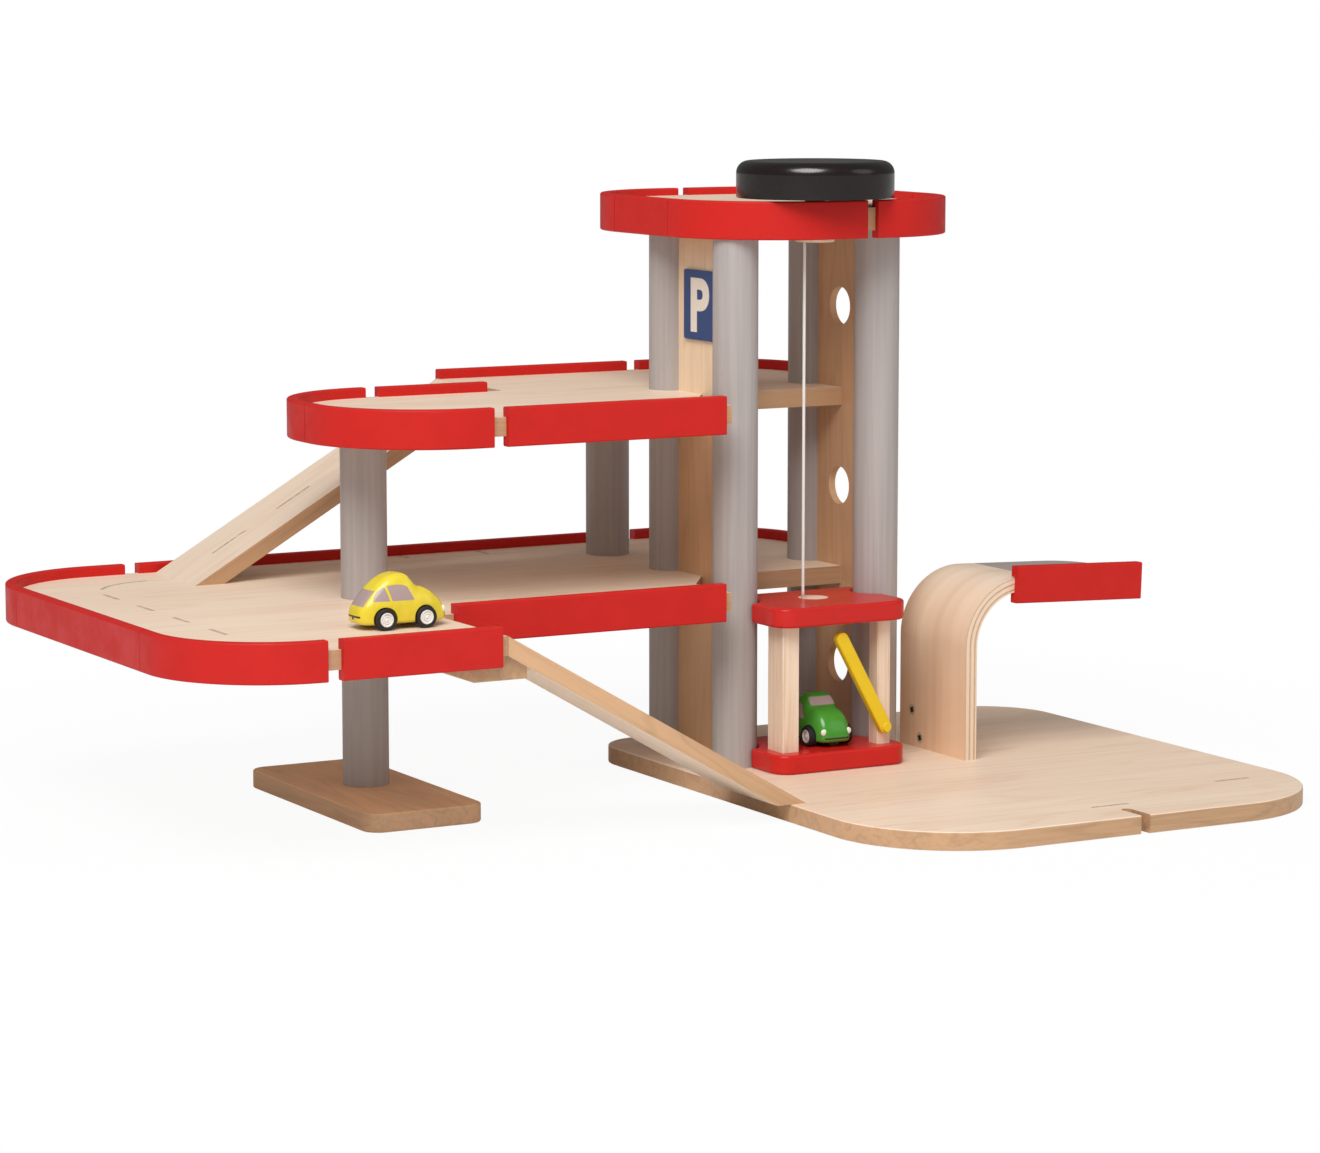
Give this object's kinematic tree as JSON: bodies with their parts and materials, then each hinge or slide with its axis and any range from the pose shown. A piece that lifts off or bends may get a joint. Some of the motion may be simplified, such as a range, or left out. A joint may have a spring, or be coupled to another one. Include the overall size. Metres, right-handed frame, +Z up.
{
  "type": "toy parking garage with lift",
  "caption": "Wooden toy parking garage: three railed decks round a pillared tower with a cord lift, winch knob, ramps, swinging barrier, canopy and small cars.",
  "frame": {"origin": "middle of the footprint, on the floor", "axes": "+X to the right along the front of the tower, +Y to the back, +Z up"},
  "size_m": [0.744, 0.519, 0.4112],
  "materials": {
    "light_wood": "clear satin lacquer",
    "brown_wood": "clear satin lacquer",
    "grey_wood": "satin grey stain",
    "red_lacquer": "gloss red lacquer",
    "blue_print": "satin print",
    "black_lacquer": "gloss black lacquer",
    "yellow_lacquer": "satin yellow lacquer",
    "yellow_car": "gloss",
    "green_car": "gloss",
    "wheel": "black tyre with a pale hub",
    "cord": "braided",
    "steel": "plain"
  },
  "bodies": {
    "garage": {"base_board": "light_wood", "level_1_deck": "light_wood", "level_2_deck": "light_wood", "top_deck": "light_wood", "lower_ramp": "light_wood", "lower_ramp_block": "light_wood", "upper_ramp": "light_wood", "upper_ramp_block": "light_wood", "canopy_arch": "light_wood", "canopy_cleat": "light_wood", "cord_guide": "light_wood", "foot_plate": "brown_wood", "left_panel": "brown_wood", "right_panel": "brown_wood", "pillar_front_left": "grey_wood", "pillar_front_right": "grey_wood", "pillar_rear_left": "grey_wood", "pillar_rear_right": "grey_wood", "front_support_lower": "grey_wood", "front_support_upper": "grey_wood", "rear_support": "grey_wood", "level_1_left_rail": "red_lacquer", "level_1_front_corner": "red_lacquer", "level_1_near_rail": "red_lacquer", "level_1_front_rail": "red_lacquer", "level_1_right_corner": "red_lacquer", "level_1_rear_rail": "red_lacquer", "level_1_rear_corner": "red_lacquer", "level_2_front_corner": "red_lacquer", "level_2_front_rail": "red_lacquer", "level_2_right_corner": "red_lacquer", "level_2_rear_rail": "red_lacquer", "level_2_middle_rail": "red_lacquer", "level_2_rear_corner": "red_lacquer", "top_left_rail": "red_lacquer", "top_front_left_corner": "red_lacquer", "top_front_right_corner": "red_lacquer", "top_rear_right_corner": "red_lacquer", "top_rear_left_corner": "red_lacquer", "canopy_rail": "red_lacquer", "parking_sign": "blue_print", "lift_cord": "cord", "canopy_screws": "steel"},
    "lift": {"lift_floor": "red_lacquer", "lift_roof": "red_lacquer", "lift_post_left": "light_wood", "lift_post_right": "light_wood", "cord_anchor": "light_wood", "cord_knot": "cord", "barrier_pin": "steel"},
    "barrier": {"barrier_arm": "yellow_lacquer"},
    "winch": {"winch_knob": "black_lacquer", "winch_drum": "black_lacquer", "winch_axle": "steel"},
    "yellow_car": {"yellow_car_body": "yellow_car"},
    "yellow_car_front": {"yellow_car_front_wheels": "wheel"},
    "yellow_car_rear": {"yellow_car_rear_wheels": "wheel"},
    "green_car": {"green_car_body": "green_car"},
    "green_car_front": {"green_car_front_wheels": "wheel"},
    "green_car_rear": {"green_car_rear_wheels": "wheel"}
  },
  "joints": [
    {"name": "lift_travel", "type": "slide", "parent": "garage", "child": "lift", "axis": [0, 0, 1], "range_m": [0, 0.233], "deforming": ["lift_cord"]},
    {"name": "winch_turn", "type": "hinge", "parent": "garage", "child": "winch", "pos_m": [0.1245, 0.0065, 0.381], "axis": [0, 0, -1], "range_deg": [0, 1680]},
    {"name": "barrier_swing", "type": "hinge", "parent": "lift", "child": "barrier", "pos_m": [0.15975, -0.0275, 0.037], "axis": [0, 1, 0], "range_deg": [-61, 11]},
    {"name": "yellow_car_roll", "type": "slide", "parent": "garage", "child": "yellow_car", "axis": [1, 0, 0], "range_m": [-0.1, 0.012]},
    {"name": "yellow_front_spin", "type": "hinge", "parent": "yellow_car", "child": "yellow_car_front", "pos_m": [-0.1965, -0.052, 0.1407], "axis": [0, 1, 0], "continuous": true},
    {"name": "yellow_rear_spin", "type": "hinge", "parent": "yellow_car", "child": "yellow_car_rear", "pos_m": [-0.2235, -0.052, 0.1407], "axis": [0, 1, 0], "continuous": true},
    {"name": "green_car_roll", "type": "slide", "parent": "lift", "child": "green_car", "axis": [0, -1, 0], "range_m": [-0.018, 0.001]},
    {"name": "green_front_spin", "type": "hinge", "parent": "green_car", "child": "green_car_front", "pos_m": [0.126, -0.009, 0.0317], "axis": [1, 0, 0], "continuous": true},
    {"name": "green_rear_spin", "type": "hinge", "parent": "green_car", "child": "green_car_rear", "pos_m": [0.126, 0.018, 0.0317], "axis": [1, 0, 0], "continuous": true}
  ],
  "couplings": [
    {"joint": "winch_turn", "follows": "lift_travel", "rad_per_m": 125},
    {"joint": "yellow_front_spin", "follows": "yellow_car_roll", "rad_per_m": 149.25},
    {"joint": "yellow_rear_spin", "follows": "yellow_car_roll", "rad_per_m": 149.25},
    {"joint": "green_front_spin", "follows": "green_car_roll", "rad_per_m": 149.25},
    {"joint": "green_rear_spin", "follows": "green_car_roll", "rad_per_m": 149.25}
  ]
}
